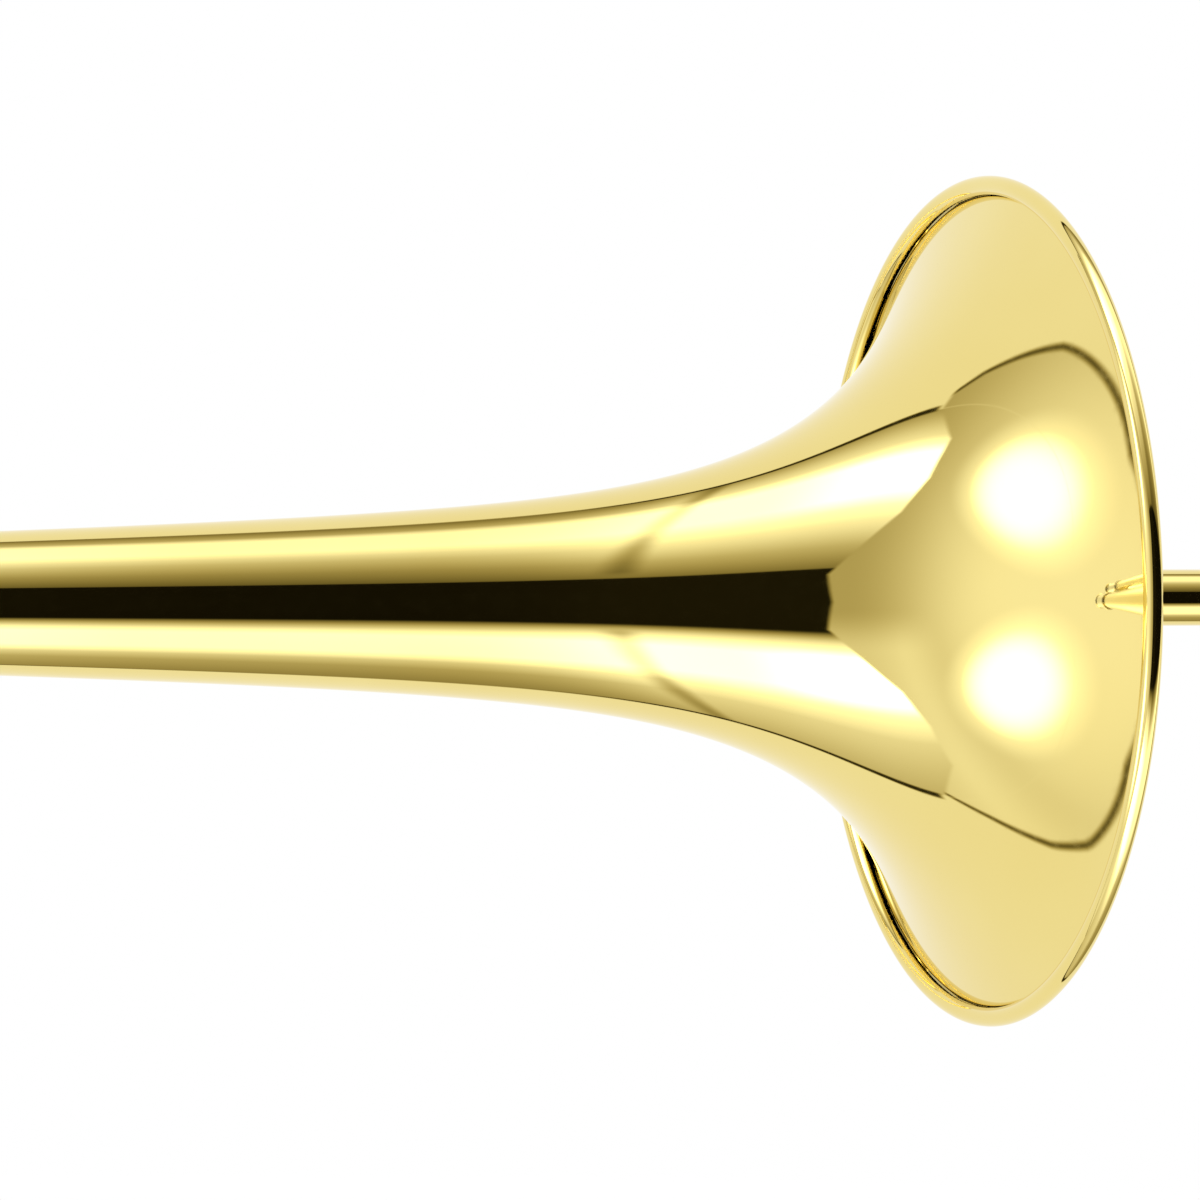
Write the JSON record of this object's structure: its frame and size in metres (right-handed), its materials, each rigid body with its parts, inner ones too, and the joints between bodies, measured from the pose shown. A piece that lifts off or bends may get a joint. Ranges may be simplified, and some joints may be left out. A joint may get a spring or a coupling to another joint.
{
  "type": "tenor trombone",
  "caption": "Tenor trombone with a rotary-valve loop: flared brass bell, two tuning slides, long double hand slide and mouthpiece.",
  "frame": {"origin": "centre of the slide receiver's front face, on the axis of the neck and of the lower slide tube", "axes": "+X along the bell's axis towards its mouth, +Z square to the plane of the bell section; the hand slide lies flat in that plane"},
  "size_m": [1.2679, 0.3446, 0.2158],
  "materials": {
    "lacquered_brass": "polished, clear lacquer",
    "nickel_silver": "polished",
    "chrome_steel": "polished",
    "silver_plate": "polished",
    "cork": "matt",
    "black_rubber": "matt"
  },
  "bodies": {
    "bell_section": {"bell": "lacquered_brass", "rim_wire": "chrome_steel", "bell_tuning_sleeve": "nickel_silver", "neck_tuning_sleeve": "nickel_silver", "slide_receiver": "nickel_silver", "gooseneck": "lacquered_brass", "neck_tube": "lacquered_brass", "front_bell_brace": "lacquered_brass", "rear_bell_brace": "lacquered_brass", "valve_casing": "lacquered_brass", "bearing_plate": "nickel_silver", "valve_cap": "lacquered_brass", "rest_stop_cork": "cork", "pressed_stop_cork": "cork", "lever_saddle": "lacquered_brass", "lever_pin": "chrome_steel", "lever_spring": "chrome_steel", "f_return_tube": "lacquered_brass", "f_outer_tube": "lacquered_brass", "f_return_sleeve": "nickel_silver", "f_outer_sleeve": "nickel_silver", "f_loop_brace": "lacquered_brass", "f_sleeve_brace": "lacquered_brass"},
    "rotor": {"rotor": "nickel_silver", "stop_arm": "nickel_silver"},
    "link": {"valve_link": "chrome_steel"},
    "thumb_lever": {"thumb_lever": "lacquered_brass"},
    "main_tuning_slide": {"neck_slide_leg": "nickel_silver", "bell_slide_leg": "nickel_silver", "main_bow": "lacquered_brass", "main_slide_brace": "lacquered_brass"},
    "f_tuning_slide": {"f_return_leg": "nickel_silver", "f_outer_leg": "nickel_silver", "f_bow": "lacquered_brass"},
    "inner_slide": {"slide_tenon": "nickel_silver", "lower_cork_barrel": "nickel_silver", "upper_cork_barrel": "nickel_silver", "lower_bumper_cork": "cork", "upper_bumper_cork": "cork", "lower_inner_tube": "chrome_steel", "upper_inner_tube": "chrome_steel", "grip_brace": "nickel_silver", "mouthpiece_receiver": "nickel_silver", "leadpipe": "lacquered_brass"},
    "lock_nut": {"slide_lock_nut": "nickel_silver"},
    "lock_ring": {"slide_lock_ring": "nickel_silver"},
    "outer_slide": {"lower_outer_tube": "lacquered_brass", "upper_outer_tube": "lacquered_brass", "lower_top_sleeve": "nickel_silver", "upper_top_sleeve": "nickel_silver", "outer_slide_brace": "nickel_silver", "slide_bow": "lacquered_brass", "bumper_holder": "nickel_silver", "slide_bumper": "black_rubber", "water_key_nipple": "nickel_silver", "water_key_saddle": "nickel_silver", "water_key_pin": "chrome_steel"},
    "water_key": {"water_key": "lacquered_brass", "water_key_cork": "cork"},
    "mouthpiece": {"mouthpiece": "silver_plate"}
  },
  "joints": [
    {"name": "thumb_lever", "type": "hinge", "parent": "bell_section", "child": "thumb_lever", "pos_m": [-0.044, -0.03117, -0.008], "axis": [0, -1, 0], "range_deg": [0, 19.16], "stiffness_Nm_per_rad": 0.35, "springref_deg": -8.59},
    {"name": "rotor_turn", "type": "hinge", "parent": "bell_section", "child": "rotor", "pos_m": [-0.115, -0.038, 0], "axis": [0, 0, 1], "range_deg": [0, 90.01]},
    {"name": "link_turn", "type": "hinge", "parent": "rotor", "child": "link", "pos_m": [-0.10934, -0.03234, 0.02576], "axis": [0, 0, 1], "range_deg": [-90.01, 0]},
    {"name": "main_tuning_slide", "type": "slide", "parent": "bell_section", "child": "main_tuning_slide", "axis": [-1, 0, 0], "range_m": [0, 0.05]},
    {"name": "f_tuning_slide", "type": "slide", "parent": "bell_section", "child": "f_tuning_slide", "axis": [-1, 0, 0], "range_m": [0, 0.055]},
    {"name": "slide_swivel", "type": "hinge", "parent": "bell_section", "child": "inner_slide", "pos_m": [0, 0, 0], "axis": [1, 0, 0], "range_deg": [-100, 100]},
    {"name": "lock_nut_turn", "type": "hinge", "parent": "inner_slide", "child": "lock_nut", "pos_m": [0, 0, 0], "axis": [1, 0, 0], "continuous": true},
    {"name": "lock_ring_turn", "type": "hinge", "parent": "inner_slide", "child": "lock_ring", "pos_m": [0.037, 0, 0], "axis": [1, 0, 0], "range_deg": [0, 35]},
    {"name": "hand_slide", "type": "slide", "parent": "inner_slide", "child": "outer_slide", "axis": [1, 0, 0], "range_m": [0, 0.56]},
    {"name": "water_key_turn", "type": "hinge", "parent": "outer_slide", "child": "water_key", "pos_m": [0.69929, 0.01328, 0.0129], "axis": [0.8192, -0.5736, 0], "range_deg": [0, 12], "stiffness_Nm_per_rad": 0.05, "springref_deg": -17.19},
    {"name": "mouthpiece_pull", "type": "slide", "parent": "inner_slide", "child": "mouthpiece", "axis": [-1, 0, 0], "range_m": [0, 0.025]}
  ],
  "couplings": [
    {"joint": "rotor_turn", "follows": "thumb_lever", "ratio": 4.6985},
    {"joint": "link_turn", "follows": "thumb_lever", "ratio": -4.6985}
  ]
}
